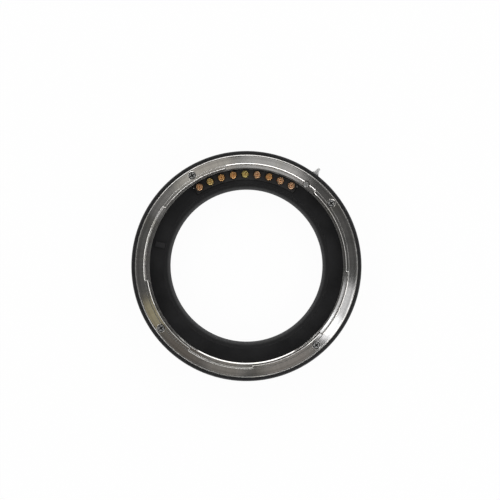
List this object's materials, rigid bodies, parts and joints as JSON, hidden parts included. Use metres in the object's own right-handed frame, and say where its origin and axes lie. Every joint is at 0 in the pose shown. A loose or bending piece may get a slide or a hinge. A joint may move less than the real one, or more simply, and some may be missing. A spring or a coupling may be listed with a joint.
{
  "type": "macro extension tube",
  "caption": "Short camera extension tube: black barrel between a tabbed lens bayonet and a lugged camera bayonet, with gold spring contacts, lock pin and release lever.",
  "frame": {"origin": "on the tube's axis, at the camera side's end face", "axes": "+Z along the tube's axis towards the lens, +Y towards the row of contacts, +X to the right of them as seen from the lens side"},
  "size_m": [0.086, 0.086, 0.0173],
  "materials": {
    "black_anodised": "satin black anodised, fine turning marks",
    "bright_chrome": "satin chrome over turned brass",
    "screw_steel": "turned steel, cross recess",
    "pin_steel": "ground steel",
    "lever_steel": "satin nickel plated",
    "spring_steel": "bright spring steel",
    "matte_black_moulding": "matte black, fine grain",
    "contact_moulding": "matte black moulding",
    "contact_gold": "gold plated",
    "circuit_board": "green solder mask",
    "black_screw": "blackened steel"
  },
  "bodies": {
    "tube": {"barrel": "black_anodised", "front_bayonet": "bright_chrome", "front_bayonet_screws": "screw_steel", "rotation_stop_pin": "pin_steel", "seat_spring_1": "spring_steel", "seat_spring_2": "spring_steel", "seat_spring_3": "spring_steel", "seat_spring_4": "spring_steel", "lock_spring": "spring_steel", "light_baffle": "matte_black_moulding", "front_contact_block": "contact_moulding", "contact_board": "circuit_board", "rear_contact_block": "contact_moulding", "rear_contact_pads": "contact_gold", "rear_bayonet": "bright_chrome", "rear_bayonet_screws": "screw_steel", "rear_cover": "matte_black_moulding", "rear_cover_screws": "black_screw", "contact_spring_1": "contact_gold", "contact_spring_2": "contact_gold", "contact_spring_3": "contact_gold", "contact_spring_4": "contact_gold", "contact_spring_5": "contact_gold", "contact_spring_6": "contact_gold", "contact_spring_7": "contact_gold", "contact_spring_8": "contact_gold", "contact_spring_9": "contact_gold"},
    "lens_lock": {"lock_pin": "pin_steel", "release_lever": "lever_steel"},
    "contact_1": {"contact_pin_1": "contact_gold"},
    "contact_2": {"contact_pin_2": "contact_gold"},
    "contact_3": {"contact_pin_3": "contact_gold"},
    "contact_4": {"contact_pin_4": "contact_gold"},
    "contact_5": {"contact_pin_5": "contact_gold"},
    "contact_6": {"contact_pin_6": "contact_gold"},
    "contact_7": {"contact_pin_7": "contact_gold"},
    "contact_8": {"contact_pin_8": "contact_gold"},
    "contact_9": {"contact_pin_9": "contact_gold"}
  },
  "joints": [
    {"name": "lock_release", "type": "slide", "parent": "tube", "child": "lens_lock", "axis": [0, 0, -1], "range_m": [0, 0.0025], "stiffness_N_per_m": 300, "springref_m": -0.002, "deforming": ["lock_spring"]},
    {"name": "contact_1_press", "type": "slide", "parent": "tube", "child": "contact_1", "axis": [0, 0, -1], "range_m": [0, 0.001], "stiffness_N_per_m": 200, "springref_m": -0.001, "deforming": ["contact_spring_1"]},
    {"name": "contact_2_press", "type": "slide", "parent": "tube", "child": "contact_2", "axis": [0, 0, -1], "range_m": [0, 0.001], "stiffness_N_per_m": 200, "springref_m": -0.001, "deforming": ["contact_spring_2"]},
    {"name": "contact_3_press", "type": "slide", "parent": "tube", "child": "contact_3", "axis": [0, 0, -1], "range_m": [0, 0.001], "stiffness_N_per_m": 200, "springref_m": -0.001, "deforming": ["contact_spring_3"]},
    {"name": "contact_4_press", "type": "slide", "parent": "tube", "child": "contact_4", "axis": [0, 0, -1], "range_m": [0, 0.001], "stiffness_N_per_m": 200, "springref_m": -0.001, "deforming": ["contact_spring_4"]},
    {"name": "contact_5_press", "type": "slide", "parent": "tube", "child": "contact_5", "axis": [0, 0, -1], "range_m": [0, 0.001], "stiffness_N_per_m": 200, "springref_m": -0.001, "deforming": ["contact_spring_5"]},
    {"name": "contact_6_press", "type": "slide", "parent": "tube", "child": "contact_6", "axis": [0, 0, -1], "range_m": [0, 0.001], "stiffness_N_per_m": 200, "springref_m": -0.001, "deforming": ["contact_spring_6"]},
    {"name": "contact_7_press", "type": "slide", "parent": "tube", "child": "contact_7", "axis": [0, 0, -1], "range_m": [0, 0.001], "stiffness_N_per_m": 200, "springref_m": -0.001, "deforming": ["contact_spring_7"]},
    {"name": "contact_8_press", "type": "slide", "parent": "tube", "child": "contact_8", "axis": [0, 0, -1], "range_m": [0, 0.001], "stiffness_N_per_m": 200, "springref_m": -0.001, "deforming": ["contact_spring_8"]},
    {"name": "contact_9_press", "type": "slide", "parent": "tube", "child": "contact_9", "axis": [0, 0, -1], "range_m": [0, 0.001], "stiffness_N_per_m": 200, "springref_m": -0.001, "deforming": ["contact_spring_9"]}
  ]
}
